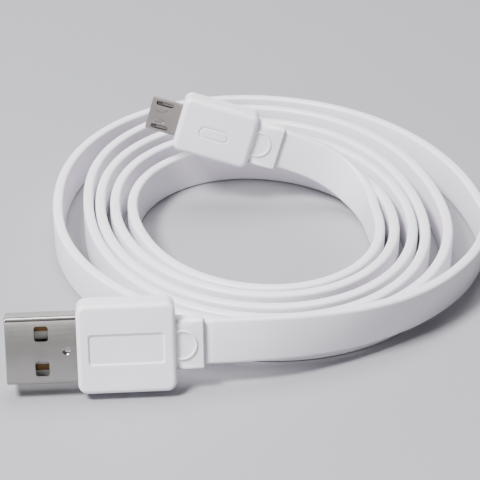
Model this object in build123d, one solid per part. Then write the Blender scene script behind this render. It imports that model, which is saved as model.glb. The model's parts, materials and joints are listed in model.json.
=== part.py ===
from build123d import *
import math
import os

# Charging cable, millimetres, +Z up. A flat ribbon cord with a USB-A plug on one end and a
# micro-B plug on the other. The ribbon stands on its narrow edge and is wound into a loose coil.
# Origin: on the floor, under the middle of the USB-A plug, whose nose points along -X.
# Each plug is modelled in its own frame, nose towards -x, width along z, thickness along y,
# and is then placed by one location.

# ---- ribbon cord -------------------------------------------------------------------------
cord_w = 8.0            # ribbon width, standing up
cord_t = 2.0            # ribbon thickness
cord_edge_r = 0.6       # rounding of the ribbon's four long edges
core_pitch = 1.6        # spacing of the four insulated cores inside the ribbon
core_d = 1.1            # insulated core diameter
copper_d = 0.5          # bare stranded copper diameter

# ---- coil --------------------------------------------------------------------------------
coil_x, coil_y = 30.5, 47.6        # middle of the coil
points_per_turn = 16
# Radius of the ribbon's middle line at each quarter turn: right, back, left, front.
turn_radii = [
    (44.5, 51.8, 39.6, 42.3),
    (36.6, 46.8, 33.4, 40.1),
    (31.9, 40.2, 31.1, 36.6),
    (29.5, 34.6, 28.2, 32.6),
    (26.0, 27.6, 24.8, 30.1),
]
last_right_r = 23.0
diagonal_stretch = -1.2            # added to the radius on one diagonal, taken off on the other

# ---- USB-A plug --------------------------------------------------------------------------
usb_lean = 16.5         # the plug leans back against the coil, degrees
usb_shell_w, usb_shell_t, usb_shell_r = 12.0, 4.5, 0.8
usb_sheet = 0.3
usb_shell_out, usb_shell_in = 12.2, 6.0         # length in view, length held in the mould
usb_window_x, usb_window_l = 5.0, 2.4           # from the nose, and along the plug
usb_window_h, usb_window_pitch = 2.7, 6.2
usb_window_r = 0.5
usb_tongue_t, usb_tongue_back = 1.85, 1.0       # tongue thickness, and set back from the nose
usb_base_l = 7.0                                # insulator block behind the socket cavity
usb_contact_t, usb_contact_w = 0.25, 1.0
usb_contact_z = {"vbus": -3.5, "dminus": -1.0, "dplus": 1.0, "gnd": 3.5}
usb_contact_back = {"vbus": 1.6, "dminus": 2.6, "dplus": 2.6, "gnd": 1.6}
usb_tail_l = 2.2                                # solder tail behind the shell
usb_body_l, usb_body_w, usb_body_t = 17.0, 16.0, 6.2
usb_body_corner_r, usb_body_edge_r = 1.7, 1.1
usb_body_wall = 1.5                             # rear wall of the overmould
usb_mould_w, usb_mould_t = 12.8, 4.7
usb_panel_l, usb_panel_w, usb_panel_d = 13.2, 5.6, 0.25
usb_relief_l, usb_relief_w, usb_relief_t = 4.8, 9.0, 3.8

# ---- micro-B plug ------------------------------------------------------------------------
micro_exit = (36.2, 64.8, 12.2)    # where the ribbon enters the micro plug's strain relief
micro_yaw, micro_pitch, micro_lean = -7.5, 16.0, 10.5
micro_shell_w, micro_shell_t = 6.85, 1.8
micro_sheet = 0.25
micro_shell_chamfer = 0.7
micro_shell_out, micro_shell_in = 6.3, 5.0
micro_slot_x, micro_slot_l, micro_slot_w, micro_slot_z = 0.9, 3.7, 0.8, 2.45
micro_latch_w, micro_latch_t = 0.5, 0.2
micro_latch_gap = 0.06             # between the latch arm and the shell wall
micro_latch_tip, micro_latch_root = 1.25, 6.6   # arm's tip and root, from the nose
micro_hook_l, micro_hook_h = 0.9, 0.35          # hook length, and height above the shell
micro_contact_w, micro_contact_t, micro_contact_pitch = 0.3, 0.15, 0.65
micro_contact_y = 0.12             # near face of the contact leaves
micro_contact_tip, micro_contact_root = 1.6, 5.4
micro_ledge_y = 0.45
micro_tail_l = 1.8
leaf_gap = 0.02                    # cut between a moving leaf and its fixed root
micro_body_l, micro_body_w, micro_body_t = 15.8, 11.6, 6.0
micro_body_corner_r, micro_body_edge_r = 1.6, 1.1
micro_body_wall = 1.5
micro_mould_w, micro_mould_t = 8.4, 3.4
micro_relief_l, micro_relief_w, micro_relief_t = 5.6, 9.0, 3.6

# ---- raised ring on each strain relief, partly hidden by the overmould --------------------
ring_r, ring_w, ring_h = 2.7, 0.5, 0.2
ring_offset = 0.8                  # ring centre, from the overmould's rear face

solder_w, solder_h = 0.9, 0.35
wire_colours = ["red", "white", "green", "black"]

# ---- worked out ---------------------------------------------------------------------------
usb_length = usb_shell_out + usb_body_l + usb_relief_l
usb_nose_x = -usb_length / 2
usb_body_x0 = usb_nose_x + usb_shell_out
usb_body_x1 = usb_body_x0 + usb_body_l
usb_end_x = usb_length / 2
usb_shell_x1 = usb_body_x0 + usb_shell_in
usb_mould_x1 = usb_body_x1 - usb_body_wall
lean = math.radians(usb_lean)
# Height of the plug's axis when the rounded rear lower edge touches the floor.
usb_axis_z = (
    (usb_body_w / 2 - usb_body_edge_r) * math.cos(lean)
    + (usb_body_t / 2 - usb_body_edge_r) * math.sin(lean)
    + usb_body_edge_r
)
usb_place = Pos(0, 0, usb_axis_z) * Rot(-usb_lean, 0, 0)

micro_body_x1 = -micro_relief_l
micro_body_x0 = micro_body_x1 - micro_body_l
micro_nose_x = micro_body_x0 - micro_shell_out
micro_shell_x1 = micro_body_x0 + micro_shell_in
micro_mould_x1 = micro_body_x1 - micro_body_wall
micro_place = Pos(*micro_exit) * Rot(0, 0, micro_yaw) * Rot(0, micro_pitch, 0) * Rot(-micro_lean, 0, 0)

os.makedirs("parts", exist_ok=True)


def block(x0, x1, y0, y1, z0, z1):
    """A plain box between six planes."""
    return Pos((x0 + x1) / 2, (y0 + y1) / 2, (z0 + z1) / 2) * Box(x1 - x0, y1 - y0, z1 - z0)


def bar(x0, x1, width, thick, radius):
    """A bar along x with a rounded rectangular section, width along z."""
    section = Plane.YZ * RectangleRounded(thick, width, radius)
    return Pos(x0, 0, 0) * extrude(section, x1 - x0)


def save(place, name, shape):
    """Put one sub-part where it lies and write its file."""
    placed = place * shape
    placed.label = name
    export_step(placed, os.path.join("parts", name + ".step"))


# ---- pieces that both plugs share ----------------------------------------------------------
def overmould(x0, length, width, thick, corner_r, edge_r):
    """Soft rectangular grip: rounded corners in side view, rounded long edges."""
    outline = Pos(x0 + length / 2, 0, 0) * (Plane.XZ * RectangleRounded(length, width, corner_r))
    grip = extrude(outline, thick / 2, both=True)
    return fillet(grip.edges().filter_by(Plane.XZ), edge_r)


def strain_relief(x0, x1, face_x, width, thick):
    """Flat collar from inside the overmould to where the ribbon comes out, with its raised ring."""
    collar = bar(x0, x1, width, thick, cord_edge_r)
    ring_plane = Plane(origin=(face_x + ring_offset, -thick / 2, 0), x_dir=(1, 0, 0), z_dir=(0, -1, 0))
    ring_face = Circle(ring_r + ring_w / 2) - Circle(ring_r - ring_w / 2)
    ring = extrude(ring_plane * ring_face, ring_h)
    in_view = block(face_x, x1, -thick, thick, -width / 2, width / 2)
    return collar + (ring & in_view)


def wire(x0, z0, x1, z1, y):
    """One insulated core, fanned out from its place in the ribbon to its contact."""
    third = (x1 - x0) / 3
    path = FilletPolyline((x0, y, z0), (x0 + third, y, z0), (x1 - third, y, z1), (x1, y, z1), radius=core_d)
    section = Plane(origin=(x0, y, z0), z_dir=path % 0) * Circle(core_d / 2)
    return sweep(section, path)


# ---- USB-A plug ------------------------------------------------------------------------------
def usb_envelope():
    return bar(usb_nose_x, usb_shell_x1, usb_shell_w, usb_shell_t, usb_shell_r)


def usb_shell():
    """Folded sheet tube with two square windows in each broad side."""
    bore = bar(usb_nose_x, usb_shell_x1, usb_shell_w - 2 * usb_sheet, usb_shell_t - 2 * usb_sheet,
               usb_shell_r - usb_sheet)
    shell = usb_envelope() - bore
    window_mid = usb_nose_x + usb_window_x + usb_window_l / 2
    for side in (-1, 1):
        opening = Plane.XZ * RectangleRounded(usb_window_l, usb_window_h, usb_window_r)
        shell -= Pos(window_mid, 0, side * usb_window_pitch / 2) * extrude(opening, usb_shell_t, both=True)
    return shell


inner_w = usb_shell_w - 2 * usb_sheet
inner_t = usb_shell_t - 2 * usb_sheet
tongue_face_y = inner_t / 2 - usb_tongue_t


def usb_contact(name):
    """Flat gold strip on the tongue, running back to its solder tail."""
    z = usb_contact_z[name]
    front = usb_nose_x + usb_contact_back[name]
    return block(front, usb_shell_x1 + usb_tail_l, tongue_face_y - usb_contact_t, tongue_face_y,
                 z - usb_contact_w / 2, z + usb_contact_w / 2)


def usb_insulator():
    """Tongue on the far side of the cavity, and the block that closes the shell behind it."""
    cavity_end = usb_shell_x1 - usb_base_l
    whole = bar(usb_nose_x + usb_tongue_back, usb_shell_x1, inner_w, inner_t, usb_shell_r - usb_sheet)
    cavity = block(usb_nose_x, cavity_end, -usb_shell_t, tongue_face_y, -usb_shell_w, usb_shell_w)
    insulator = whole - cavity
    for name in usb_contact_z:
        insulator -= usb_contact(name)
    return insulator


def core_z(index):
    return (index - 1.5) * core_pitch


usb_core_y = tongue_face_y - usb_contact_t - solder_h - copper_d / 2
usb_wire_x1 = usb_shell_x1 + usb_tail_l + 0.6


def usb_wire(index):
    z_end = sorted(usb_contact_z.values())[index]
    return wire(usb_mould_x1, core_z(index), usb_wire_x1, z_end, usb_core_y)


def copper_end(x0, x1, y, z):
    return Pos(x0, y, z) * extrude(Plane.YZ * Circle(copper_d / 2), x1 - x0)


def usb_coppers():
    return [copper_end(usb_shell_x1 + 0.5, usb_wire_x1, usb_core_y, z) for z in sorted(usb_contact_z.values())]


def usb_solders():
    """A bead of solder between each copper end and its tail."""
    beads = []
    for z, copper in zip(sorted(usb_contact_z.values()), usb_coppers()):
        top = tongue_face_y - usb_contact_t
        bead = block(usb_shell_x1 + 0.7, usb_shell_x1 + usb_tail_l - 0.2, usb_core_y, top,
                     z - solder_w / 2, z + solder_w / 2)
        beads.append(bead - copper)
    return beads


def usb_inner_mould():
    """Hard moulding that pots the wires behind the shell."""
    mould = bar(usb_shell_x1, usb_mould_x1, usb_mould_w, usb_mould_t, usb_shell_r)
    for name in usb_contact_z:
        mould -= usb_contact(name)
    for index in range(4):
        mould -= usb_wire(index)
    for piece in usb_coppers() + usb_solders():
        mould -= piece
    return mould


def usb_overmould():
    grip = overmould(usb_body_x0, usb_body_l, usb_body_w, usb_body_t, usb_body_corner_r, usb_body_edge_r)
    grip -= usb_envelope()
    grip -= bar(usb_shell_x1, usb_mould_x1, usb_mould_w, usb_mould_t, usb_shell_r)
    grip -= bar(usb_mould_x1, usb_body_x1, usb_relief_w, usb_relief_t, cord_edge_r)
    middle = (usb_body_x0 + usb_body_x1) / 2
    for side in (-1, 1):
        face = side * usb_body_t / 2
        floor = face - side * usb_panel_d
        grip -= block(middle - usb_panel_l / 2, middle + usb_panel_l / 2, min(floor, side * usb_body_t),
                      max(floor, side * usb_body_t), -usb_panel_w / 2, usb_panel_w / 2)
    return grip


# ---- micro-B plug ------------------------------------------------------------------------------
def micro_section(inset):
    """Shell section: flat broad side at -y, two corners cut off on the +y side."""
    w, t, c = micro_shell_w / 2 - inset, micro_shell_t / 2 - inset, micro_shell_chamfer
    corner = [(-t, -w), (-t, w), (t - c, w), (t, w - c), (t, -w + c), (t - c, -w)]
    return Plane.YZ * make_face(Polyline(*corner, close=True))


def micro_envelope():
    return Pos(micro_nose_x, 0, 0) * extrude(micro_section(0), micro_shell_x1 - micro_nose_x)


def micro_shell():
    """Folded sheet tube with one slot for each latch hook."""
    shell = micro_envelope() - Pos(micro_nose_x, 0, 0) * extrude(
        micro_section(micro_sheet), micro_shell_x1 - micro_nose_x)
    slot_x0 = micro_nose_x + micro_slot_x
    for side in (-1, 1):
        z = side * micro_slot_z
        shell -= block(slot_x0, slot_x0 + micro_slot_l, -micro_shell_t, 0, z - micro_slot_w / 2,
                       z + micro_slot_w / 2)
    return shell


latch_y0 = -micro_shell_t / 2 + micro_sheet + micro_latch_gap
latch_y1 = latch_y0 + micro_latch_t


def micro_latch(side):
    """Spring arm under the shell's wall, with a wedge hook that stands out through the slot."""
    z = side * micro_slot_z
    x0, x1 = micro_nose_x + micro_latch_tip, micro_nose_x + micro_latch_root
    arm = block(x0, x1 - leaf_gap, latch_y0, latch_y1, z - micro_latch_w / 2, z + micro_latch_w / 2)
    crest = -micro_shell_t / 2 - micro_hook_h
    wedge = Plane.XY * make_face(Polyline((x0, latch_y0), (x0 + micro_hook_l, latch_y0),
                                          (x0 + micro_hook_l, crest), close=True))
    hook = Pos(0, 0, z - micro_latch_w / 2) * extrude(wedge, micro_latch_w)
    return arm + hook


def latch_roots():
    """Fixed ends of both latch springs, held in the insulator."""
    x0 = micro_nose_x + micro_latch_root
    return [block(x0, micro_shell_x1, latch_y0, latch_y1, side * micro_slot_z - micro_latch_w / 2,
                  side * micro_slot_z + micro_latch_w / 2) for side in (-1, 1)]


def contact_z(index):
    return (index - 2) * micro_contact_pitch


def contact_strip(x0, x1, index):
    z = contact_z(index)
    return block(x0, x1, micro_contact_y, micro_contact_y + micro_contact_t,
                 z - micro_contact_w / 2, z + micro_contact_w / 2)


def contact_leaves():
    x0, x1 = micro_nose_x + micro_contact_tip, micro_nose_x + micro_contact_root
    return [contact_strip(x0, x1 - leaf_gap, index) for index in range(5)]


def contact_tails():
    x0 = micro_nose_x + micro_contact_root
    return [contact_strip(x0, micro_shell_x1 + micro_tail_l, index) for index in range(5)]


def micro_insulator():
    """Ledge under the contact leaves, and the block that closes the shell behind them."""
    clear = 0.1
    core = Pos(micro_nose_x, 0, 0) * extrude(micro_section(micro_sheet), micro_shell_x1 - micro_nose_x)
    base_x = micro_nose_x + micro_contact_root
    front = block(micro_nose_x, base_x, -micro_shell_t, micro_ledge_y, -micro_shell_w, micro_shell_w)
    nose = block(micro_nose_x, micro_nose_x + 0.5, -micro_shell_t, micro_shell_t, -micro_shell_w, micro_shell_w)
    insulator = core - front - nose
    for tail in contact_tails():
        insulator -= tail
    for root in latch_roots():
        insulator -= root
    for side in (-1, 1):
        z = side * micro_slot_z
        insulator -= block(base_x - 1, micro_nose_x + micro_latch_root, -micro_shell_t, latch_y1 + clear,
                           z - micro_latch_w / 2 - clear, z + micro_latch_w / 2 + clear)
    return insulator


micro_core_y = micro_contact_y - solder_h - core_d / 2
micro_wire_x1 = micro_shell_x1 + micro_tail_l + 0.5
micro_core_z = [-1.95, -0.65, 0.65, 1.95]
used_contacts = (0, 1, 2, 4)


def micro_wire(index):
    return wire(micro_mould_x1, core_z(index), micro_wire_x1, micro_core_z[index], micro_core_y)


def micro_solders():
    """One bead on each used tail; the fourth contact is left free."""
    beads = []
    for index in used_contacts:
        z = contact_z(index)
        beads.append(block(micro_shell_x1 + 0.4, micro_shell_x1 + micro_tail_l, micro_contact_y - solder_h,
                           micro_contact_y, z - micro_contact_w / 2, z + micro_contact_w / 2))
    return beads


def micro_inner_mould():
    mould = bar(micro_shell_x1, micro_mould_x1, micro_mould_w, micro_mould_t, cord_edge_r)
    for piece in contact_tails() + micro_solders():
        mould -= piece
    for index in range(4):
        mould -= micro_wire(index)
    return mould


def micro_overmould():
    grip = overmould(micro_body_x0, micro_body_l, micro_body_w, micro_body_t, micro_body_corner_r,
                     micro_body_edge_r)
    grip -= micro_envelope()
    grip -= bar(micro_shell_x1, micro_mould_x1, micro_mould_w, micro_mould_t, cord_edge_r)
    grip -= bar(micro_mould_x1, micro_body_x1, micro_relief_w, micro_relief_t, cord_edge_r)
    return grip


# ---- ribbon cord --------------------------------------------------------------------------------
quarter_radii = [radius for turn in turn_radii for radius in turn] + [last_right_r]
coil_quarters = len(quarter_radii) - 1


def coil_radius(quarters):
    """Middle-line radius after a number of quarter turns, eased from one quarter to the next."""
    index = min(int(quarters), coil_quarters - 1)
    ease = (1 - math.cos(math.pi * (quarters - index))) / 2
    radius = quarter_radii[index] + (quarter_radii[index + 1] - quarter_radii[index]) * ease
    return radius + diagonal_stretch * math.sin(math.pi * quarters)


def coil_point(quarters, offset=0.0):
    """A point of the coil, anticlockwise from the right side, moved outwards by offset."""
    angle = math.radians(90 * quarters)
    radius = coil_radius(quarters) + offset
    return (coil_x + radius * math.cos(angle), coil_y + radius * math.sin(angle))


def cord_coil():
    """Outer shape of the coil: from the first full turn's outside to the last full turn's inside."""
    last = coil_quarters
    steps = points_per_turn
    outside = [coil_point(4 * i / steps, cord_t / 2) for i in range(steps + 1)]
    inside = [coil_point(last - 4 + 4 * i / steps, -cord_t / 2) for i in range(steps + 1)]
    outline = Curve() + [Spline(*outside), Line(outside[-1], outside[0])]
    hole = Curve() + [Spline(*inside), Line(inside[-1], inside[0])]
    return extrude(make_face(outline) - make_face(hole), cord_w)


# Route of each stretch that isn't coiled. Middle of the ribbon, chosen by hand.
floor_z = cord_w / 2 + 0.03        # middle of a ribbon that stands on the floor
usb_lead_route = [
    (usb_end_x, 0.0, usb_axis_z),
    (24.5, 0.0, usb_axis_z),
    (34.5, 2.0, 7.0),
    (46.2, 6.0, 5.6),
    (58.0, 12.9, 4.8),
    (67.7, 23.4, 4.3),
    (73.2, 34.6, floor_z),
    (75.0, 42.2, floor_z),
    (75.0, 47.6, floor_z),
]
micro_lead_route = [
    (53.5, 47.6, floor_z),
    (53.5, 53.0, floor_z),
    (51.4, 58.5, 5.4),
    (47.2, 62.4, 8.2),
    (40.965, 64.173, 10.822),
    micro_exit,
]


def corner_radii(route):
    """Each arc is as large as its two runs allow."""
    points = [Vector(*p) for p in route]
    radii = []
    for before, corner, after in zip(points, points[1:], points[2:]):
        turn = math.radians((corner - before).get_angle(after - corner))
        shorter = min((corner - before).length, (after - corner).length)
        radii.append(0.45 * shorter / math.tan(turn / 2))
    return radii


def ribbon(name, route):
    """Standing ribbon along straight runs joined by tangent arcs."""
    radii = corner_radii(route)
    path = FilletPolyline(*route, radius=radii)
    start = Plane(origin=path @ 0, x_dir=Vector(0, 0, 1), z_dir=path % 0)
    section = start * RectangleRounded(cord_w, cord_t, cord_edge_r)
    solid = sweep(section, path)
    expected = section.area * path.length
    print(name, "radii", [round(r, 1) for r in radii], "length", round(path.length, 1),
          "volume/expected", round(solid.volume / expected, 4))
    return solid, path.length


here = Pos(0, 0, 0)
save(usb_place, "usb_shell", usb_shell())
save(usb_place, "usb_insulator", usb_insulator())
for contact in usb_contact_z:
    save(usb_place, "usb_contact_" + contact, usb_contact(contact))
for i, colour in enumerate(wire_colours):
    save(usb_place, "usb_wire_" + colour, usb_wire(i))
save(usb_place, "usb_wire_cores", Compound(usb_coppers()))
save(usb_place, "usb_solder_joints", Compound(usb_solders()))
save(usb_place, "usb_inner_mould", usb_inner_mould())
save(usb_place, "usb_overmould", usb_overmould())
save(usb_place, "usb_strain_relief",
     strain_relief(usb_mould_x1, usb_end_x, usb_body_x1, usb_relief_w, usb_relief_t))

save(micro_place, "micro_shell", micro_shell())
save(micro_place, "micro_insulator", micro_insulator())
save(micro_place, "micro_contact_leaves", Compound(contact_leaves()))
save(micro_place, "micro_contact_tails", Compound(contact_tails()))
save(micro_place, "micro_latch_lower", micro_latch(-1))
save(micro_place, "micro_latch_upper", micro_latch(1))
save(micro_place, "micro_latch_roots", Compound(latch_roots()))
for i, colour in enumerate(wire_colours):
    save(micro_place, "micro_wire_" + colour, micro_wire(i))
save(micro_place, "micro_solder_joints", Compound(micro_solders()))
save(micro_place, "micro_inner_mould", micro_inner_mould())
save(micro_place, "micro_overmould", micro_overmould())
save(micro_place, "micro_strain_relief",
     strain_relief(micro_mould_x1, 0, micro_body_x1, micro_relief_w, micro_relief_t))

usb_lead, usb_lead_l = ribbon("cord_usb_lead", usb_lead_route)
micro_lead, micro_lead_l = ribbon("cord_micro_lead", micro_lead_route)
save(here, "cord_usb_lead", usb_lead)
save(here, "cord_micro_lead", micro_lead)
save(here, "cord_coil", cord_coil())

steps = 32 * coil_quarters
line = [Vector(*coil_point(coil_quarters * i / steps)) for i in range(steps + 1)]
coil_l = sum((b - a).length for a, b in zip(line, line[1:]))
print("coil middle line", round(coil_l, 1), "whole cord", round(coil_l + usb_lead_l + micro_lead_l, 1))
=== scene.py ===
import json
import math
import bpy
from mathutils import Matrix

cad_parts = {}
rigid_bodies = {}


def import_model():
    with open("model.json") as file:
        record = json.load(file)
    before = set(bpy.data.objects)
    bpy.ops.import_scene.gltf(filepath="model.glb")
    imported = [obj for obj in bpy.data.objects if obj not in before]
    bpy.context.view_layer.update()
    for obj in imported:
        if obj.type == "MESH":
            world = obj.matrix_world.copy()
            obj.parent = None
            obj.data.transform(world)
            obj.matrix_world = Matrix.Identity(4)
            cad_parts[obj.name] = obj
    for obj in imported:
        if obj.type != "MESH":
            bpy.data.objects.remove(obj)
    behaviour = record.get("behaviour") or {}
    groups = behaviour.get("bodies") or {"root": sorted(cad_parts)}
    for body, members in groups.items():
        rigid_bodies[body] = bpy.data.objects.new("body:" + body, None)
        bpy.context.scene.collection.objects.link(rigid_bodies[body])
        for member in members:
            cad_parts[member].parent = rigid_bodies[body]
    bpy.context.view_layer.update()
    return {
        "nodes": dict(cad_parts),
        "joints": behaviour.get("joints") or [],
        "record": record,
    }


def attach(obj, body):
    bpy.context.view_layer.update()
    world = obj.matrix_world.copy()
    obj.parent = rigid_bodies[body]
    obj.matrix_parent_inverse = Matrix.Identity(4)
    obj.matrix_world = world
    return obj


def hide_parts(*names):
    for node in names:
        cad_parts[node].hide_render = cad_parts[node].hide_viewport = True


bl_info = {
    "name": "Charging cable",
    "version": (1, 0, 0),
    "blender": (4, 5, 0),
    "location": "3D View > Sidebar > Cable",
    "description": "Dresses a coiled flat charging cable around its packed frame",
    "category": "Object",
}

import bmesh
import bpy
from bpy.props import FloatProperty, FloatVectorProperty, IntProperty, PointerProperty, StringProperty
from mathutils import Matrix, Vector

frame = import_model()
MM = 0.001
CLEAR = 1 * MM  # how far a cutter reaches past what it cuts


# ---- places, from the frame --------------------------------------------------------------
def mount(name):
    return next(m for m in frame["record"]["mounts"] if m["name"] == name)


def joint(name):
    return next(j for j in frame["joints"] if j["name"] == name)


def plug_matrix(nose, along, across, nose_x):
    """Matrix of a plug's own frame: x from nose to cord, z across its width, -y towards its front face."""
    x_axis = Vector(along).normalized()
    z_axis = Vector(across).normalized()
    y_axis = z_axis.cross(x_axis)
    turn = Matrix((x_axis, y_axis, z_axis)).transposed()
    origin = Vector(nose) - x_axis * nose_x
    return Matrix.Translation(origin) @ turn.to_4x4()


USB_LEAN = math.radians(16.5)
USB_NOSE_X = -17.0 * MM
MICRO_NOSE_X = -27.7 * MM
USB_PLACE = plug_matrix(
    mount("usb_a_plug")["pos_m"],
    -Vector(mount("usb_a_plug")["axis"]),
    (0, math.sin(USB_LEAN), math.cos(USB_LEAN)),
    USB_NOSE_X,
)
MICRO_PLACE = plug_matrix(
    mount("micro_b_plug")["pos_m"],
    -Vector(mount("micro_b_plug")["axis"]),
    joint("latch_upper_press")["axis"],
    MICRO_NOSE_X,
)


# ---- sizes and colours a user would change --------------------------------------------------
def length(name, description, millimetres):
    default = millimetres * MM
    return FloatProperty(name=name, description=description, default=default, unit="LENGTH", precision=5)


def hex_colour(name, description, value):
    return StringProperty(name=name, description=description + ", as an sRGB hex value", default=value)


class CableCordSettings(bpy.types.PropertyGroup):
    """The flat ribbon and its coil."""

    width: length("Width", "Ribbon width, standing up", 8.0)
    thickness: length("Thickness", "Ribbon thickness", 2.0)
    edge_radius: length("Edge radius", "Rounding of the ribbon's four long edges", 0.6)
    edge_segments: IntProperty(name="Edge segments", description="Faces round each long edge", default=4)
    last_right_radius: length("Last right radius", "Coil radius where the ribbon leaves the coil", 23.0)
    diagonal_stretch: length("Diagonal stretch", "Added to the radius on one diagonal", -1.2)
    points_per_turn: IntProperty(
        name="Points per turn", description="Control points in each turn", default=32
    )
    colour: hex_colour("Colour", "Ribbon colour", "#E6E1EA")


class CableUsbSettings(bpy.types.PropertyGroup):
    """The USB-A plug."""

    shell_width: length("Shell width", "Metal shell, across its broad side", 12.0)
    shell_thickness: length("Shell thickness", "Metal shell, across its narrow side", 4.5)
    shell_radius: length("Shell corner radius", "Outside corner of the folded sheet", 0.8)
    sheet: length("Sheet", "Thickness of the folded sheet", 0.3)
    shell_out: length("Shell in view", "Length of the shell in front of the grip", 12.2)
    shell_in: length("Shell held", "Length of the shell inside the grip", 6.0)
    window_start: length("Window start", "From the nose to the windows", 5.0)
    window_length: length("Window length", "Along the plug", 2.4)
    window_height: length("Window height", "Across the plug", 2.7)
    window_pitch: length("Window pitch", "Between the windows' centres", 6.2)
    window_radius: length("Window radius", "Corner radius of the windows", 0.5)
    grip_length: length("Grip length", "Along the plug", 17.0)
    grip_width: length("Grip width", "Broad side of the grip", 15.88)
    grip_thickness: length("Grip thickness", "Narrow side of the grip", 6.2)
    corner_radius: length("Grip corner radius", "Corners of the grip in side view", 1.7)
    edge_radius: length("Grip edge radius", "Rounding of the long edges", 0.85)
    panel_length: length("Panel length", "Recessed bare panel, along the plug", 13.2)
    panel_width: length("Panel width", "Recessed bare panel, across the plug", 5.6)
    panel_depth: length("Panel depth", "Depth of the bare panel", 0.3)
    relief_length: length("Relief length", "Strain relief behind the grip", 4.8)
    relief_width: length("Relief width", "Strain relief, across", 9.0)
    relief_thickness: length("Relief thickness", "Strain relief, narrow side", 3.8)


class CableMicroSettings(bpy.types.PropertyGroup):
    """The micro-B plug."""

    shell_width: length("Shell width", "Metal shell, across its broad side", 6.85)
    shell_thickness: length("Shell thickness", "Metal shell, across its narrow side", 1.8)
    shell_chamfer: length("Shell chamfer", "Cut corners of the shell", 0.7)
    sheet: length("Sheet", "Thickness of the folded sheet", 0.25)
    shell_out: length("Shell in view", "Length of the shell in front of the grip", 6.3)
    shell_in: length("Shell held", "Length of the shell inside the grip", 5.0)
    slot_start: length("Slot start", "From the nose to the latch slots", 0.9)
    slot_length: length("Slot length", "Along the plug", 3.7)
    slot_width: length("Slot width", "Across the plug", 0.8)
    slot_offset: length("Slot offset", "From the middle of the plug to each slot", 2.45)
    grip_length: length("Grip length", "Along the plug", 15.8)
    grip_width: length("Grip width", "Broad side of the grip", 11.6)
    grip_thickness: length("Grip thickness", "Narrow side of the grip", 6.0)
    corner_radius: length("Grip corner radius", "Corners of the grip in side view", 1.6)
    edge_radius: length("Grip edge radius", "Rounding of the long edges", 1.1)
    relief_length: length("Relief length", "Strain relief behind the grip", 5.6)
    relief_width: length("Relief width", "Strain relief, across", 9.0)
    relief_thickness: length("Relief thickness", "Strain relief, narrow side", 3.6)


class CableStageSettings(bpy.types.PropertyGroup):
    """Floor and camera."""

    floor_colour: hex_colour("Floor", "Floor colour", "#9A9A9F")
    lens: FloatProperty(
        name="Lens", description="Focal length, millimetres on a 36 mm sensor", default=126.94
    )
    camera_place: FloatVectorProperty(
        name="Camera", description="Camera position", subtype="TRANSLATION",
        default=(0.005314, -0.244754, 0.170331),
    )
    camera_pitch: FloatProperty(
        name="Camera pitch", description="Downward tilt", default=math.radians(30.072), subtype="ANGLE"
    )
    camera_yaw: FloatProperty(
        name="Camera yaw", description="Turn about the vertical", default=math.radians(-4.212),
        subtype="ANGLE",
    )


# ---- materials ------------------------------------------------------------------------------
def linear(value):
    """Linear colour of an sRGB hex value such as #E9E6EA."""
    channels = [int(value[i : i + 2], 16) / 255 for i in (1, 3, 5)]
    curve = [c / 12.92 if c <= 0.04045 else ((c + 0.055) / 1.055) ** 2.4 for c in channels]
    return (*curve, 1.0)


def add_node(tree, kind, settings=None, links=None):
    """Add one node, with its own properties or socket values in settings and incoming sockets in links."""
    node = tree.nodes.new(kind)
    for key, value in (settings or {}).items():
        if isinstance(key, str) and hasattr(node, key):
            setattr(node, key, value)
        else:
            node.inputs[key].default_value = value
    for key, socket in (links or {}).items():
        tree.links.new(socket, node.inputs[key])
    return node


def new_material(name):
    """An empty node material and its node tree."""
    material = bpy.data.materials.new(name)
    material.use_nodes = True
    tree = material.node_tree
    tree.nodes.clear()
    return material, tree


def object_place(tree):
    return add_node(tree, "ShaderNodeTexCoord").outputs["Object"]


def noise(tree, place, scale, detail):
    settings = {"Scale": scale, "Detail": detail}
    return add_node(tree, "ShaderNodeTexNoise", settings, {"Vector": place}).outputs["Fac"]


def blend(tree, first, second, factor):
    """Mix of two sRGB hex colours. The numbers are the sockets of a mix node set to colour."""
    settings = {"data_type": "RGBA", 6: linear(first), 7: linear(second)}
    return add_node(tree, "ShaderNodeMix", settings, {0: factor}).outputs[2]


def spread(tree, low, high, factor):
    """A value that varies between low and high."""
    settings = {"To Min": low, "To Max": high}
    return add_node(tree, "ShaderNodeMapRange", settings, {"Value": factor}).outputs[0]


def bump(tree, height, strength, distance_mm, below=None):
    """Surface relief, laid over the relief in below if there is one."""
    settings = {"Strength": strength, "Distance": distance_mm * MM}
    links = {"Height": height}
    if below is not None:
        links["Normal"] = below
    return add_node(tree, "ShaderNodeBump", settings, links).outputs[0]


def finish_material(tree, settings, links):
    """Close the tree with its surface shader and output."""
    shader = add_node(tree, "ShaderNodeBsdfPrincipled", settings, links)
    add_node(tree, "ShaderNodeOutputMaterial", links={"Surface": shader.outputs[0]})


# White TPE lets a little light in, which softens its edges.
TPE = {
    "IOR": 1.5,
    "Subsurface Weight": 0.06,
    "Subsurface Radius": (1.0, 0.9, 0.8),
    "Subsurface Scale": 0.4 * MM,
}


def moulded_elastomer(name, colour):
    """Injection-moulded TPE: soft gloss over a fine spark-eroded grain."""
    material, tree = new_material(name)
    place = object_place(tree)
    # Real spark-erosion grain is about 0.05 mm; it is drawn coarser so that it can show.
    grain = noise(tree, place, 1 / (0.28 * MM), 3.0)
    cloud = noise(tree, place, 1 / (7 * MM), 2.0)
    finish_material(tree, TPE, {
        "Base Color": blend(tree, colour, "#EFEBF2", cloud),
        "Roughness": spread(tree, 0.36, 0.46, grain),
        "Normal": bump(tree, grain, 0.35, 0.02),
    })
    return material


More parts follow.
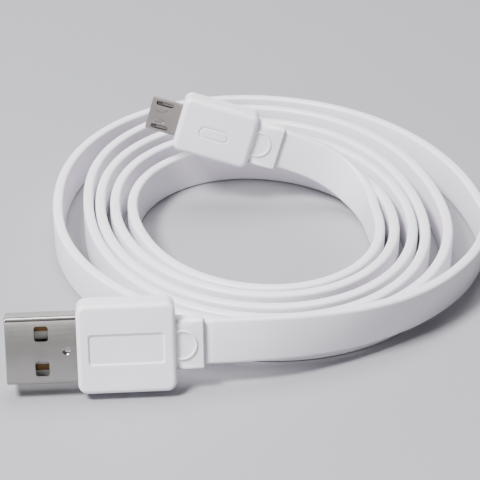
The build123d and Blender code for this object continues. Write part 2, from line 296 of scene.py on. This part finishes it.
def extruded_elastomer(name, colour):
    """Extruded TPE jacket: satin skin with faint die lines along it and a slow waviness."""
    material, tree = new_material(name)
    unrolled = add_node(tree, "ShaderNodeUVMap", {"uv_map": "ribbon"}).outputs[0]
    # UV units are metres: u along the cord, v around it. Die lines are about 0.4 mm apart.
    along = add_node(tree, "ShaderNodeMapping", {"Scale": (12, 2500, 1)}, {"Vector": unrolled})
    lines = noise(tree, along.outputs[0], 1.0, 2.0)
    place = object_place(tree)
    grain = noise(tree, place, 1 / (0.35 * MM), 2.0)
    cloud = noise(tree, place, 1 / (12 * MM), 2.0)
    finish_material(tree, TPE, {
        "Base Color": blend(tree, colour, "#EDE9F0", cloud),
        "Roughness": spread(tree, 0.30, 0.42, lines),
        "Normal": bump(tree, lines, 0.25, 0.02, below=bump(tree, grain, 0.15, 0.02)),
    })
    return material


def sheet_metal(name, colour, dark, roughness, streak_mm=0.25):
    """Rolled and plated sheet: mirror-like, with rolling streaks and slight handling marks."""
    material, tree = new_material(name)
    place = object_place(tree)
    # The streaks run along the object's x axis.
    narrow = 1 / (streak_mm * MM)
    stretch = add_node(tree, "ShaderNodeMapping", {"Scale": (60, narrow, narrow)}, {"Vector": place})
    streaks = noise(tree, stretch.outputs[0], 1.0, 3.0)
    marks = noise(tree, place, 1 / (2.5 * MM), 4.0)
    finish_material(tree, {"Metallic": 1.0}, {
        "Base Color": blend(tree, colour, dark, marks),
        "Roughness": spread(tree, roughness * 0.75, roughness * 1.25, streaks),
        "Normal": bump(tree, streaks, 0.2, 0.01),
    })
    return material


def hard_plastic(name, colour, second, roughness):
    """Moulded nylon or PVC: even colour with a faint flow pattern."""
    material, tree = new_material(name)
    flow = noise(tree, object_place(tree), 1 / (1.5 * MM), 3.0)
    finish_material(tree, {"IOR": 1.5, "Roughness": roughness}, {
        "Base Color": blend(tree, colour, second, flow),
        "Normal": bump(tree, flow, 0.1, 0.01),
    })
    return material


def painted_floor(name, colour):
    """Matt paint with a slight unevenness in its gloss."""
    material, tree = new_material(name)
    grain = noise(tree, object_place(tree), 400.0, 3.0)
    finish_material(tree, {"Base Color": linear(colour)}, {"Roughness": spread(tree, 0.42, 0.5, grain)})
    return material


# ---- shared modelling helpers ---------------------------------------------------------------
def show(name, mesh, body, material, nodes):
    """A finished piece, which rides on its body and stands for its CAD nodes."""
    mesh.name = name
    piece = bpy.data.objects.new(name, mesh)
    bpy.context.scene.collection.objects.link(piece)
    piece.data.materials.clear()
    piece.data.materials.append(material)
    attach(piece, body)
    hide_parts(*nodes)
    return piece


def block(length_, thickness, width, middle_x):
    """A plain block: length along x, thickness along y and width along z."""
    shape = bmesh.new()
    bmesh.ops.create_cube(shape, size=1.0)
    bmesh.ops.scale(shape, vec=(length_, thickness, width), verts=shape.verts)
    bmesh.ops.translate(shape, vec=(middle_x, 0, 0), verts=shape.verts)
    return shape


def round_edges(shape, edges, radius, segments):
    """Round the given edges, or cut them flat with one segment."""
    bmesh.ops.bevel(
        shape, geom=edges, offset=radius, segments=segments, profile=0.5, affect="EDGES", material=-1
    )


def edges_along(shape, axis, least):
    """Edges that reach further than least along an axis: 0 is x, 1 is y."""
    return [e for e in shape.edges if abs(e.verts[0].co[axis] - e.verts[1].co[axis]) > least]


def edges_in_plane(shape, axis, place):
    return [e for e in shape.edges if all(abs(v.co[axis] - place) < 1e-7 for v in e.verts)]


def rounded_bar(x0, x1, thickness, width, radius, segments=6):
    """A bar along x with rounded long edges."""
    shape = block(x1 - x0, thickness, width, (x0 + x1) / 2)
    round_edges(shape, edges_along(shape, 0, (x1 - x0) / 2), radius, segments)
    return shape


def grip_block(x0, length_, thickness, width, corner_radius, edge_radius):
    """Soft rectangular grip: rounded corners in side view, rounded long edges."""
    shape = block(length_, thickness, width, x0 + length_ / 2)
    round_edges(shape, edges_along(shape, 1, thickness / 2), corner_radius, 10)
    for side in (-1, 1):
        round_edges(shape, edges_in_plane(shape, 1, side * thickness / 2), edge_radius, 8)
    return shape


def stadium(length_, width, depth, place):
    """A block with half-round ends, lying along x with its depth along y."""
    # The end roundings stop just short of each other, because the bevel needs an edge between them.
    end_radius = width / 2 - 0.002 * MM
    shape = grip_block(-length_ / 2, length_, depth, width, end_radius, edge_radius=0.01 * MM)
    bmesh.ops.translate(shape, vec=place, verts=shape.verts)
    return shape


def pressed_outline(length_, width, line, depth, place):
    """Cutter for a shallow groove along a stadium's outline, centred on a face."""
    ring = stadium(length_, width, 2 * depth, place)
    middle = stadium(length_ - 2 * line, width - 2 * line, 4 * depth, place)
    mesh = combine(ring, [middle])
    shape = bmesh.new()
    shape.from_mesh(mesh)
    bpy.data.meshes.remove(mesh)
    return shape


def to_mesh(shape):
    bmesh.ops.recalc_face_normals(shape, faces=shape.faces)
    mesh = bpy.data.meshes.new("shape")
    shape.to_mesh(mesh)
    shape.free()
    return mesh


def helper_object(name, mesh):
    holder = bpy.data.objects.new(name, mesh)
    bpy.context.scene.collection.objects.link(holder)
    return holder


def evaluated_mesh(holder):
    """The object's mesh with its modifiers applied."""
    bpy.context.view_layer.update()
    evaluated = holder.evaluated_get(bpy.context.evaluated_depsgraph_get())
    return bpy.data.meshes.new_from_object(evaluated)


def combine(base, cutters, operation="DIFFERENCE"):
    """Cut or join shapes. Takes bmesh shapes and gives one mesh."""
    target = helper_object("target", to_mesh(base))
    helpers = []
    for cutter in cutters:
        helper = helper_object("cutter", to_mesh(cutter))
        helpers.append(helper)
        modifier = target.modifiers.new("cut", "BOOLEAN")
        modifier.operation = operation
        modifier.solver = "EXACT"
        modifier.object = helper
    mesh = evaluated_mesh(target)
    for leftover in [target, *helpers]:
        bpy.data.objects.remove(leftover, do_unlink=True)
    return mesh


def soften(mesh, width=0):
    """Bevel the sharp edges by width, if any, and shade smoothly with the broad faces kept flat."""
    holder = helper_object("soften", mesh)
    if width > 0:
        bevel = holder.modifiers.new("bevel", "BEVEL")
        bevel.width = width
        bevel.segments = 2
        bevel.limit_method = "ANGLE"
        bevel.angle_limit = math.radians(35)
    weighted = holder.modifiers.new("normals", "WEIGHTED_NORMAL")
    weighted.weight = 50
    mesh.polygons.foreach_set("use_smooth", [True] * len(mesh.polygons))
    result = evaluated_mesh(holder)
    bpy.data.objects.remove(holder, do_unlink=True)
    return result


def place_mesh(mesh, matrix):
    mesh.transform(matrix)
    return mesh


# ---- ribbon cord ----------------------------------------------------------------------------
COIL_CENTRE = Vector((30.5, 47.6)) * MM
FLOOR_Z = 4.03  # height of the ribbon's middle where it stands on the floor, in millimetres
# Radius of the ribbon's middle line at each quarter turn: right, back, left, front.
TURN_RADII = [
    (44.5, 51.8, 39.6, 42.3),
    (36.6, 46.8, 33.4, 40.1),
    (31.9, 40.2, 31.1, 36.6),
    (29.5, 34.6, 28.2, 32.6),
    (26.0, 27.6, 24.8, 30.1),
]
# Middle of the ribbon where it isn't coiled, in millimetres.
USB_LEAD = [
    (17.0, 0.0, 8.284),
    (24.5, 0.0, 8.284),
    (34.5, 1.9, 7.4),
    (46.2, 5.8, 6.4),
    (58.0, 12.7, 5.7),
    (67.7, 23.4, 5.1),
    (73.2, 34.6, 4.6),
    (75.0, 42.2, 4.2),
]
# The lead leans outwards on its way to the coil. The lean grows from START to FULL and goes back from
# FALL to END, in millimetres along the cord.
LEAD_LEAN = math.radians(8)
LEAN_START, LEAN_FULL, LEAN_FALL, LEAN_END = 15, 50, 62, 86
# The ribbon turns to meet a plug over this length.
PLUG_TURN = 38 * MM
MICRO_LEAD = [
    (53.5, 53.0, FLOOR_Z),
    (51.4, 58.5, 5.4),
    (47.2, 62.4, 8.2),
    (40.965, 64.173, 10.822),
    (36.2, 64.8, 12.2),
]


def coil_points(settings):
    """Control points of the coil, from the right side inwards, anticlockwise."""
    radii = [r * MM for turn in TURN_RADII for r in turn] + [settings.last_right_radius]
    steps = settings.points_per_turn // 4
    points = []
    for quarter in range(len(radii) - 1):
        for step in range(steps):
            ease = (1 - math.cos(math.pi * step / steps)) / 2
            angle = math.radians(90 * (quarter + step / steps))
            radius = radii[quarter] + (radii[quarter + 1] - radii[quarter]) * ease
            radius += settings.diagonal_stretch * math.sin(2 * angle)
            across = Vector((math.cos(angle), math.sin(angle))) * radius + COIL_CENTRE
            points.append(Vector((across.x, across.y, FLOOR_Z * MM)))
    points.append(Vector((COIL_CENTRE.x + radii[-1], COIL_CENTRE.y, FLOOR_Z * MM)))
    return points


def cord_line(settings):
    """Points along the cord's smooth middle line."""
    route = [Vector(p) * MM for p in USB_LEAD] + coil_points(settings) + [Vector(p) * MM for p in MICRO_LEAD]
    curve = bpy.data.curves.new("cord_route", "CURVE")
    curve.dimensions = "3D"
    curve.resolution_u = 8
    spline = curve.splines.new("NURBS")
    spline.points.add(len(route) - 1)
    for point, place in zip(spline.points, route):
        point.co = (*place, 1.0)
    spline.order_u = 3
    spline.use_endpoint_u = True
    holder = bpy.data.objects.new("cord_route", curve)
    mesh = bpy.data.meshes.new_from_object(holder)
    line = [v.co.copy() for v in mesh.vertices]
    bpy.data.objects.remove(holder)
    return line


def ribbon_section(settings):
    """Rounded rectangle, as pairs of offsets: across the ribbon's thickness, and up its width."""
    half_t, half_w, radius = settings.thickness / 2, settings.width / 2, settings.edge_radius
    corners = [
        (half_t - radius, half_w - radius, 0),
        (radius - half_t, half_w - radius, 90),
        (radius - half_t, radius - half_w, 180),
        (half_t - radius, radius - half_w, 270),
    ]
    section = []
    for across, up, start in corners:
        for step in range(settings.edge_segments + 1):
            angle = math.radians(start + 90 * step / settings.edge_segments)
            section.append((across + radius * math.cos(angle), up + radius * math.sin(angle)))
    return section


def ease_in(value):
    """Smooth step from 0 to 1."""
    value = min(max(value, 0.0), 1.0)
    return value * value * (3 - 2 * value)


def lead_up(point, distance):
    """Up direction of the ribbon, before either plug turns it. The distance is in millimetres."""
    rise = ease_in((distance - LEAN_START) / (LEAN_FULL - LEAN_START))
    fall = 1 - ease_in((distance - LEAN_FALL) / (LEAN_END - LEAN_FALL))
    outward = Vector((point.x - COIL_CENTRE.x, point.y - COIL_CENTRE.y, 0)).normalized()
    return (Vector((0, 0, 1)) + outward * math.tan(LEAD_LEAN * rise * fall)).normalized()


def ribbon_mesh(settings, line):
    """Sweep the section along the line. It is upright on the floor and turns to meet each plug."""
    section = ribbon_section(settings)
    travelled = [0.0]
    for before, after in zip(line, line[1:]):
        travelled.append(travelled[-1] + (after - before).length)
    total = travelled[-1]
    usb_up = USB_PLACE.to_3x3() @ Vector((0, 0, 1))
    micro_up = MICRO_PLACE.to_3x3() @ Vector((0, 0, 1))
    shape = bmesh.new()
    uv_layer = shape.loops.layers.uv.new("ribbon")
    rings = []
    for index, point in enumerate(line):
        ahead = line[min(index + 1, len(line) - 1)]
        behind = line[max(index - 1, 0)]
        tangent = (ahead - behind).normalized()
        up = lead_up(point, travelled[index] / MM)
        up = usb_up.lerp(up, ease_in(travelled[index] / PLUG_TURN))
        up = micro_up.lerp(up, ease_in((total - travelled[index]) / PLUG_TURN))
        across = up.cross(tangent).normalized()
        up = tangent.cross(across)
        rings.append([shape.verts.new(point + across * a + up * b) for a, b in section])
    around = [0.0]
    for (a0, b0), (a1, b1) in zip(section, section[1:] + section[:1]):
        around.append(around[-1] + math.hypot(a1 - a0, b1 - b0))
    count = len(section)
    for row in range(len(rings) - 1):
        for k in range(count):
            following = (k + 1) % count
            face = shape.faces.new(
                (rings[row][k], rings[row + 1][k], rings[row + 1][following], rings[row][following])
            )
            face.smooth = True
            places = [
                (travelled[row], around[k]),
                (travelled[row + 1], around[k]),
                (travelled[row + 1], around[k + 1]),
                (travelled[row], around[k + 1]),
            ]
            for loop, uv in zip(face.loops, places):
                loop[uv_layer].uv = uv
    shape.faces.new(rings[0])
    shape.faces.new(list(reversed(rings[-1])))
    return to_mesh(shape)


class CABLE_OT_cord(bpy.types.Operator):
    """Model the flat ribbon from one plug to the other"""

    bl_idname = "cable.cord"
    bl_label = "Ribbon cord"

    def execute(self, context):
        settings = context.scene.cable_cord
        line = cord_line(settings)
        mesh = ribbon_mesh(settings, line)
        material = extruded_elastomer("extruded_white_tpe", settings.colour)
        ribbon = show(
            "ribbon_cord", mesh, "cable", material,
            ("cord_usb_lead", "cord_coil", "cord_micro_lead"),
        )
        carried = [o for name, o in frame["nodes"].items() if name.startswith("micro_")]
        carried += [o for o in bpy.data.objects if o.get("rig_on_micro")]
        return {"FINISHED"}


# ---- grips and strain reliefs, shared by both plugs --------------------------------------------
RELIEF_HIDDEN = 1.4 * MM  # length inside the grip
RELIEF_EDGE = 0.6 * MM
RELIEF_END = 0.25 * MM
POCKET_GAP = 0.1 * MM  # room for the shell in its pocket, both sides together
RING_RADIUS = 2.5 * MM
RING_WIDTH = 0.52 * MM
RING_HEIGHT = 0.28 * MM
RING_OFFSET = 1.0 * MM


def relief_ring(face_x, front_y, side):
    """Raised half-round ring on the relief's broad side, partly hidden by the grip."""
    shape = bmesh.new()
    ring = bmesh.ops.create_circle(shape, cap_ends=False, segments=16, radius=1.0)["verts"]
    bmesh.ops.scale(shape, vec=(RING_WIDTH / 2, RING_HEIGHT, 1), verts=ring)
    bmesh.ops.translate(shape, vec=(RING_RADIUS, 0, 0), verts=ring)
    bmesh.ops.spin(
        shape, geom=shape.edges[:] + shape.verts[:], cent=(0, 0, 0), axis=(0, 1, 0), angle=math.tau,
        steps=64, use_merge=True,
    )
    bmesh.ops.remove_doubles(shape, verts=shape.verts, dist=1e-7)
    bmesh.ops.translate(shape, vec=(face_x + RING_OFFSET, side * front_y, 0), verts=shape.verts)
    return shape


def relief_mesh(settings, face_x, extras=()):
    """Flat collar between grip and ribbon with its raised ring on both broad sides."""
    end_x = face_x + settings.relief_length
    thickness = settings.relief_thickness
    collar = rounded_bar(face_x - RELIEF_HIDDEN, end_x, thickness, settings.relief_width, RELIEF_EDGE)
    round_edges(collar, edges_in_plane(collar, 0, end_x), RELIEF_END, 3)
    rings = [relief_ring(face_x, thickness / 2, side) for side in (-1, 1)]
    return soften(combine(collar, [*rings, *extras], "UNION"))


def grip_shape(settings, x0):
    return grip_block(
        x0, settings.grip_length, settings.grip_thickness, settings.grip_width, settings.corner_radius,
        settings.edge_radius,
    )


def shell_pocket(settings, x0, radius):
    """Cutter for the pocket that holds the shell's inner end."""
    return rounded_bar(
        x0 - CLEAR, x0 + settings.shell_in, settings.shell_thickness + POCKET_GAP,
        settings.shell_width + POCKET_GAP, radius,
    )


def grip_material(context):
    """Moulded white TPE for both plugs, made once."""
    name = "moulded_white_tpe"
    return bpy.data.materials.get(name) or moulded_elastomer(name, context.scene.cable_cord.colour)


# ---- USB-A plug ---------------------------------------------------------------------------------
PANEL_CORNER = 0.45 * MM
USB_GRIP_SOFTENING = 0.09 * MM
# Stub of the sprue that fed the mould, on the relief's narrow side.
NIB_RADII = (0.14 * MM, 0.2 * MM)
NIB_LENGTH = 0.8 * MM
NIB_FROM_GRIP = 1.3 * MM
NIB_OUT = 0.1 * MM  # from the side to its middle
# The broad faces are cut into slices and bulged. Both skins of the sheet lie within CROWN_REACH.
SHELL_CROWN = 0.12 * MM
SHELL_SLICES = 16
CROWN_REACH = 0.5 * MM
NOSE_ROUNDING = 0.2 * MM
USB_SHELL_SOFTENING = 0.07 * MM
# A ball presses a round dimple into each broad face. Its centre stays DIMPLE_OUT in front of the face.
DIMPLE_BALL = 1.15 * MM
DIMPLE_OUT = 0.87 * MM
DIMPLE_FROM_NOSE = 10.4 * MM
SEAM_DEPTH = 0.1 * MM
SEAM_WIDTH = 0.06 * MM


def drafted_panel(length_, width, depth, corner_radius, side):
    """Cutter for a shallow panel whose walls slope inwards at 45 degrees. Its face lies at y = 0."""
    shape = bmesh.new()
    bmesh.ops.create_cube(shape, size=1.0)
    for vertex in shape.verts:
        reach = depth if vertex.co.y * side > 0 else -depth
        vertex.co.x = math.copysign(length_ / 2 + reach, vertex.co.x)
        vertex.co.z = math.copysign(width / 2 + reach, vertex.co.z)
        vertex.co.y = side * reach
    round_edges(shape, edges_along(shape, 1, depth), corner_radius, 6)
    return shape


def sprue_nib(x, z):
    shape = bmesh.new()
    bmesh.ops.create_cone(
        shape, cap_ends=True, segments=16, radius1=NIB_RADII[0], radius2=NIB_RADII[1], depth=NIB_LENGTH
    )
    bmesh.ops.translate(shape, vec=(x, 0, z), verts=shape.verts)
    return shape


class CABLE_OT_usb_grip(bpy.types.Operator):
    """Model the soft grip and strain relief of the USB-A plug"""

    bl_idname = "cable.usb_grip"
    bl_label = "USB-A grip"

    def execute(self, context):
        s = context.scene.cable_usb
        material = grip_material(context)
        x0 = USB_NOSE_X + s.shell_out
        x1 = x0 + s.grip_length
        cutters = []
        for side in (-1, 1):
            panel = drafted_panel(s.panel_length, s.panel_width, s.panel_depth, PANEL_CORNER, side)
            face = ((x0 + x1) / 2, side * s.grip_thickness / 2, 0)
            bmesh.ops.translate(panel, vec=face, verts=panel.verts)
            cutters.append(panel)
        cutters.append(shell_pocket(s, x0, s.shell_radius))
        grip = soften(combine(grip_shape(s, x0), cutters), USB_GRIP_SOFTENING)
        show("usb_grip", place_mesh(grip, USB_PLACE), "cable", material, ("usb_overmould",))

        nib = sprue_nib(x1 + NIB_FROM_GRIP, -s.relief_width / 2 - NIB_OUT)
        relief = relief_mesh(s, x1, [nib])
        show(
            "usb_relief", place_mesh(relief, USB_PLACE), "cable", material,
            ("usb_strain_relief",),
        )
        return {"FINISHED"}


def sliced_bar(x0, x1, thickness, width, radius):
    """A rounded bar cut across its width into strips, so that its broad faces can be bulged."""
    shape = rounded_bar(x0, x1, thickness, width, radius, 8)
    reach = width - 2 * radius
    for step in range(1, SHELL_SLICES):
        bmesh.ops.bisect_plane(
            shape, geom=shape.verts[:] + shape.edges[:] + shape.faces[:],
            plane_co=(0, 0, -reach / 2 + reach * step / SHELL_SLICES), plane_no=(0, 0, 1),
        )
    return shape


def crown(mesh, thickness, width):
    """Bulge the broad faces slightly, as folded sheet springs back."""
    for vertex in mesh.vertices:
        if abs(vertex.co.y) > thickness / 2 - CROWN_REACH:
            across = vertex.co.z / (width / 2)
            vertex.co.y += math.copysign(SHELL_CROWN * (1 - across * across), vertex.co.y)


class CABLE_OT_usb_shell(bpy.types.Operator):
    """Model the folded metal shell of the USB-A plug"""

    bl_idname = "cable.usb_shell"
    bl_label = "USB-A shell"

    def execute(self, context):
        s = context.scene.cable_usb
        face = s.shell_thickness / 2
        end_x = USB_NOSE_X + s.shell_out + s.shell_in
        shell = sliced_bar(USB_NOSE_X, end_x, s.shell_thickness, s.shell_width, s.shell_radius)
        round_edges(shell, edges_in_plane(shell, 0, USB_NOSE_X), NOSE_ROUNDING, 4)
        bore = sliced_bar(
            USB_NOSE_X - CLEAR, end_x + CLEAR, s.shell_thickness - 2 * s.sheet, s.shell_width - 2 * s.sheet,
            s.shell_radius - s.sheet,
        )
        cutters = [bore]
        window_mid = USB_NOSE_X + s.window_start + s.window_length / 2
        for side in (-1, 1):
            # Each window goes through both broad faces.
            window = grip_block(
                window_mid - s.window_length / 2, s.window_length, 3 * s.shell_thickness, s.window_height,
                s.window_radius, edge_radius=0.05 * MM,
            )
            bmesh.ops.translate(window, vec=(0, 0, side * s.window_pitch / 2), verts=window.verts)
            cutters.append(window)
        for side in (-1, 1):
            ball = bmesh.new()
            bmesh.ops.create_uvsphere(ball, u_segments=48, v_segments=32, radius=DIMPLE_BALL)
            centre = (USB_NOSE_X + DIMPLE_FROM_NOSE, side * (face + DIMPLE_OUT), 0)
            bmesh.ops.translate(ball, vec=centre, verts=ball.verts)
            cutters.append(ball)
        # The sheet's two ends meet in a seam along the back.
        seam = rounded_bar(
            USB_NOSE_X - CLEAR, end_x + CLEAR, 2 * SEAM_DEPTH, SEAM_WIDTH, radius=0.01 * MM, segments=1
        )
        bmesh.ops.translate(seam, vec=(0, face, 0), verts=seam.verts)
        cutters.append(seam)
        mesh = combine(shell, cutters)
        crown(mesh, s.shell_thickness, s.shell_width)
        mesh = soften(mesh, USB_SHELL_SOFTENING)
        material = sheet_metal("nickel_plated_steel", "#A9A6A3", "#979491", 0.2)
        show("usb_folded_shell", place_mesh(mesh, USB_PLACE), "cable", material, ("usb_shell",))
        return {"FINISHED"}


# ---- micro-B plug -------------------------------------------------------------------------------
MICRO_FOLD = 0.3 * MM  # outside radius of the shell's folds, and corner radius of its pocket
MICRO_SHELL_SOFTENING = 0.04 * MM
MICRO_GRIP_SOFTENING = 0.08 * MM
# Length, width, line width and depth of the pressed outlines: two on the shell, one on the grip.
SHELL_OUTLINE = (2.1 * MM, 0.8 * MM, 0.22 * MM, 0.18 * MM)
SHELL_OUTLINE_FROM_NOSE = 2.5 * MM
SHELL_OUTLINE_OFFSET = 1.05 * MM
GRIP_OUTLINE = (6.4 * MM, 2.6 * MM, 0.5 * MM, 0.16 * MM)
GRIP_OUTLINE_FROM_FRONT = 7.6 * MM
GRIP_OUTLINE_OFFSET = -0.4 * MM


def micro_bar(s, inset, x0, x1):
    """Shell form: flat broad side at -y, two corners cut off on the +y side."""
    shape = block(x1 - x0, s.shell_thickness - 2 * inset, s.shell_width - 2 * inset, (x0 + x1) / 2)
    back = [e for e in edges_along(shape, 0, (x1 - x0) / 2) if e.verts[0].co.y > 0]
    round_edges(shape, back, s.shell_chamfer, 1)
    round_edges(shape, edges_along(shape, 0, (x1 - x0) / 2), MICRO_FOLD - inset, 4)
    return shape


def show_micro(name, mesh, material, node):
    """A piece of the micro-B plug, marked as one of the cord's far-end pieces."""
    piece = show(name, place_mesh(mesh, MICRO_PLACE), "cable", material, (node,))
    piece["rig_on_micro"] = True


class CABLE_OT_micro_shell(bpy.types.Operator):
    """Model the folded metal shell of the micro-B plug"""

    bl_idname = "cable.micro_shell"
    bl_label = "Micro-B shell"

    def execute(self, context):
        s = context.scene.cable_micro
        front = -s.shell_thickness / 2
        end_x = MICRO_NOSE_X + s.shell_out + s.shell_in
        shell = micro_bar(s, 0, MICRO_NOSE_X, end_x)
        cutters = [micro_bar(s, s.sheet, MICRO_NOSE_X - CLEAR, end_x + CLEAR)]
        slot_mid = MICRO_NOSE_X + s.slot_start + s.slot_length / 2
        for side in (-1, 1):
            place = (slot_mid, front, side * s.slot_offset)
            cutters.append(stadium(s.slot_length, s.slot_width, s.shell_thickness, place))
        for side in (-1, 1):
            place = (MICRO_NOSE_X + SHELL_OUTLINE_FROM_NOSE, front, side * SHELL_OUTLINE_OFFSET)
            cutters.append(pressed_outline(*SHELL_OUTLINE, place))
        mesh = soften(combine(shell, cutters), MICRO_SHELL_SOFTENING)
        material = sheet_metal("satin_stainless_sheet", "#A7A29E", "#958F8B", 0.32, 0.15)
        show_micro("micro_folded_shell", mesh, material, "micro_shell")
        return {"FINISHED"}


class CABLE_OT_micro_grip(bpy.types.Operator):
    """Model the soft grip and strain relief of the micro-B plug"""

    bl_idname = "cable.micro_grip"
    bl_label = "Micro-B grip"

    def execute(self, context):
        s = context.scene.cable_micro
        material = grip_material(context)
        x0 = MICRO_NOSE_X + s.shell_out
        x1 = x0 + s.grip_length
        # A plain pill-shaped outline marks the side that faces up.
        place = (x0 + GRIP_OUTLINE_FROM_FRONT, -s.grip_thickness / 2, GRIP_OUTLINE_OFFSET)
        cutters = [shell_pocket(s, x0, MICRO_FOLD), pressed_outline(*GRIP_OUTLINE, place)]
        grip = soften(combine(grip_shape(s, x0), cutters), MICRO_GRIP_SOFTENING)
        show_micro("micro_grip", grip, material, "micro_overmould")
        show_micro("micro_relief", relief_mesh(s, x1), material, "micro_strain_relief")
        return {"FINISHED"}


# ---- pieces that keep their CAD shape -------------------------------------------------------------
class CABLE_OT_inner_pieces(bpy.types.Operator):
    """Give the insulators, contacts, latches, wires and solder their materials"""

    bl_idname = "cable.inner_pieces"
    bl_label = "Inner pieces"

    def execute(self, context):
        finishes = {
            "usb_insulator": hard_plastic("moulded_white_nylon", "#E2E2DE", "#D6D6D2", 0.45),
            "micro_insulator": hard_plastic("moulded_black_nylon", "#1B1B1D", "#242427", 0.42),
            "mould": hard_plastic("moulded_polyethylene", "#DAD9D4", "#CFCEC9", 0.55),
            # The contacts' gold is darkened to a dark brown as painted shade, for the shadow they lie in
            # inside the shell.
            "gold": sheet_metal("gold_contact_painted_shade", "#5C4830", "#4E3C27", 0.3, 0.1),
            "steel": sheet_metal("spring_steel", "#8A8682", "#797571", 0.28, 0.1),
            "copper": sheet_metal("tinned_copper_strand", "#C98560", "#B8744F", 0.35, 0.1),
            "solder": sheet_metal("solder", "#B9B9BC", "#A4A4A8", 0.3, 0.5),
            "red": hard_plastic("red_pvc", "#B3251E", "#A31F19", 0.4),
            "white": hard_plastic("white_pvc", "#E8E8E4", "#DCDCD8", 0.4),
            "green": hard_plastic("green_pvc", "#1F7A3A", "#1A6E33", 0.4),
            "black": hard_plastic("black_pvc", "#151515", "#1D1D1D", 0.4),
        }
        words = [
            ("usb_insulator", "usb_insulator"), ("micro_insulator", "micro_insulator"),
            ("inner_mould", "mould"), ("contact", "gold"), ("latch", "steel"), ("cores", "copper"),
            ("solder", "solder"), ("_red", "red"), ("_white", "white"), ("_green", "green"),
            ("_black", "black"),
        ]
        for name, node in frame["nodes"].items():
            key = next((finish for word, finish in words if word in name), None)
            if key is None:
                continue
            if not node.material_slots:
                node.data.materials.append(finishes[key])
            for material_slot in node.material_slots:
                material_slot.material = finishes[key]
        return {"FINISHED"}


# ---- stage -------------------------------------------------------------------------------------------
# Each light: place and size in metres, power in watts. All face the middle of the coil.
LIGHTS = {
    "key_softbox": ((-0.28, -0.14, 0.52), (0.16, 0.16), 10.0),
    "overhead_softbox": ((0.05, 0.2, 0.5), (0.3, 0.3), 2.6),
    "front_card": ((-0.15, -0.8, 0.22), (0.7, 0.28), 1.7),
    "left_card": ((-0.7, -0.45, 0.12), (0.3, 0.25), 1.3),
    "back_card": ((0.1, 0.9, 0.13), (1.4, 0.26), 2.4),
}
SKY_COLOUR = "#E6E8EC"
SKY_STRENGTH = 0.19
FLOOR_HALF_SIDE = 3.0


def area_light(name, place, target, size, power):
    data = bpy.data.lights.new(name, "AREA")
    data.shape = "RECTANGLE"
    data.size, data.size_y = size
    data.energy = power
    light = bpy.data.objects.new(name, data)
    light.location = place
    light.rotation_euler = (Vector(target) - Vector(place)).to_track_quat("-Z", "Y").to_euler()
    bpy.context.scene.collection.objects.link(light)


class CABLE_OT_stage(bpy.types.Operator):
    """Set out the floor, the soft lights and the camera"""

    bl_idname = "cable.stage"
    bl_label = "Stage"

    def execute(self, context):
        s = context.scene.cable_stage
        ground = bmesh.new()
        bmesh.ops.create_grid(ground, x_segments=2, y_segments=2, size=FLOOR_HALF_SIDE)
        mesh = bpy.data.meshes.new("floor")
        ground.to_mesh(mesh)
        ground.free()
        mesh.materials.append(painted_floor("painted_floor", s.floor_colour))
        floor = bpy.data.objects.new("floor", mesh)
        context.scene.collection.objects.link(floor)

        middle = (COIL_CENTRE.x, COIL_CENTRE.y, 0.0)
        for name, (place, size, power) in LIGHTS.items():
            area_light(name, place, middle, size, power)
        world = bpy.data.worlds.new("studio")
        world.use_nodes = True
        sky = world.node_tree.nodes["Background"].inputs
        sky["Color"].default_value = linear(SKY_COLOUR)
        sky["Strength"].default_value = SKY_STRENGTH
        context.scene.world = world

        data = bpy.data.cameras.new("camera")
        data.lens = s.lens
        data.sensor_width = 36.0
        data.clip_start = 0.01
        camera = bpy.data.objects.new("camera", data)
        camera.location = s.camera_place
        camera.rotation_euler = (math.radians(90) - s.camera_pitch, 0, s.camera_yaw)
        context.scene.collection.objects.link(camera)
        context.scene.camera = camera
        return {"FINISHED"}


class CABLE_PT_panel(bpy.types.Panel):
    """Lists the steps that build the cable"""

    bl_label = "Charging cable"
    bl_idname = "CABLE_PT_panel"
    bl_space_type = "VIEW_3D"
    bl_region_type = "UI"
    bl_category = "Cable"

    def draw(self, context):
        for step in STEPS:
            self.layout.operator(step.bl_idname)


GROUPS = {
    "cable_cord": CableCordSettings,
    "cable_usb": CableUsbSettings,
    "cable_micro": CableMicroSettings,
    "cable_stage": CableStageSettings,
}
STEPS = (
    CABLE_OT_stage, CABLE_OT_usb_grip, CABLE_OT_usb_shell, CABLE_OT_micro_grip, CABLE_OT_micro_shell,
    CABLE_OT_inner_pieces, CABLE_OT_cord,
)


def register():
    for group in GROUPS.values():
        bpy.utils.register_class(group)
    for step in (*STEPS, CABLE_PT_panel):
        bpy.utils.register_class(step)
    for name, group in GROUPS.items():
        setattr(bpy.types.Scene, name, PointerProperty(type=group))


def unregister():
    for name in GROUPS:
        delattr(bpy.types.Scene, name)
    for step in (CABLE_PT_panel, *reversed(STEPS)):
        bpy.utils.unregister_class(step)
    for group in GROUPS.values():
        bpy.utils.unregister_class(group)


def main():
    register()
    bpy.ops.cable.stage()
    bpy.ops.cable.usb_grip()
    bpy.ops.cable.usb_shell()
    bpy.ops.cable.micro_grip()
    bpy.ops.cable.micro_shell()
    bpy.ops.cable.inner_pieces()
    bpy.ops.cable.cord()


if __name__ == "__main__":
    main()
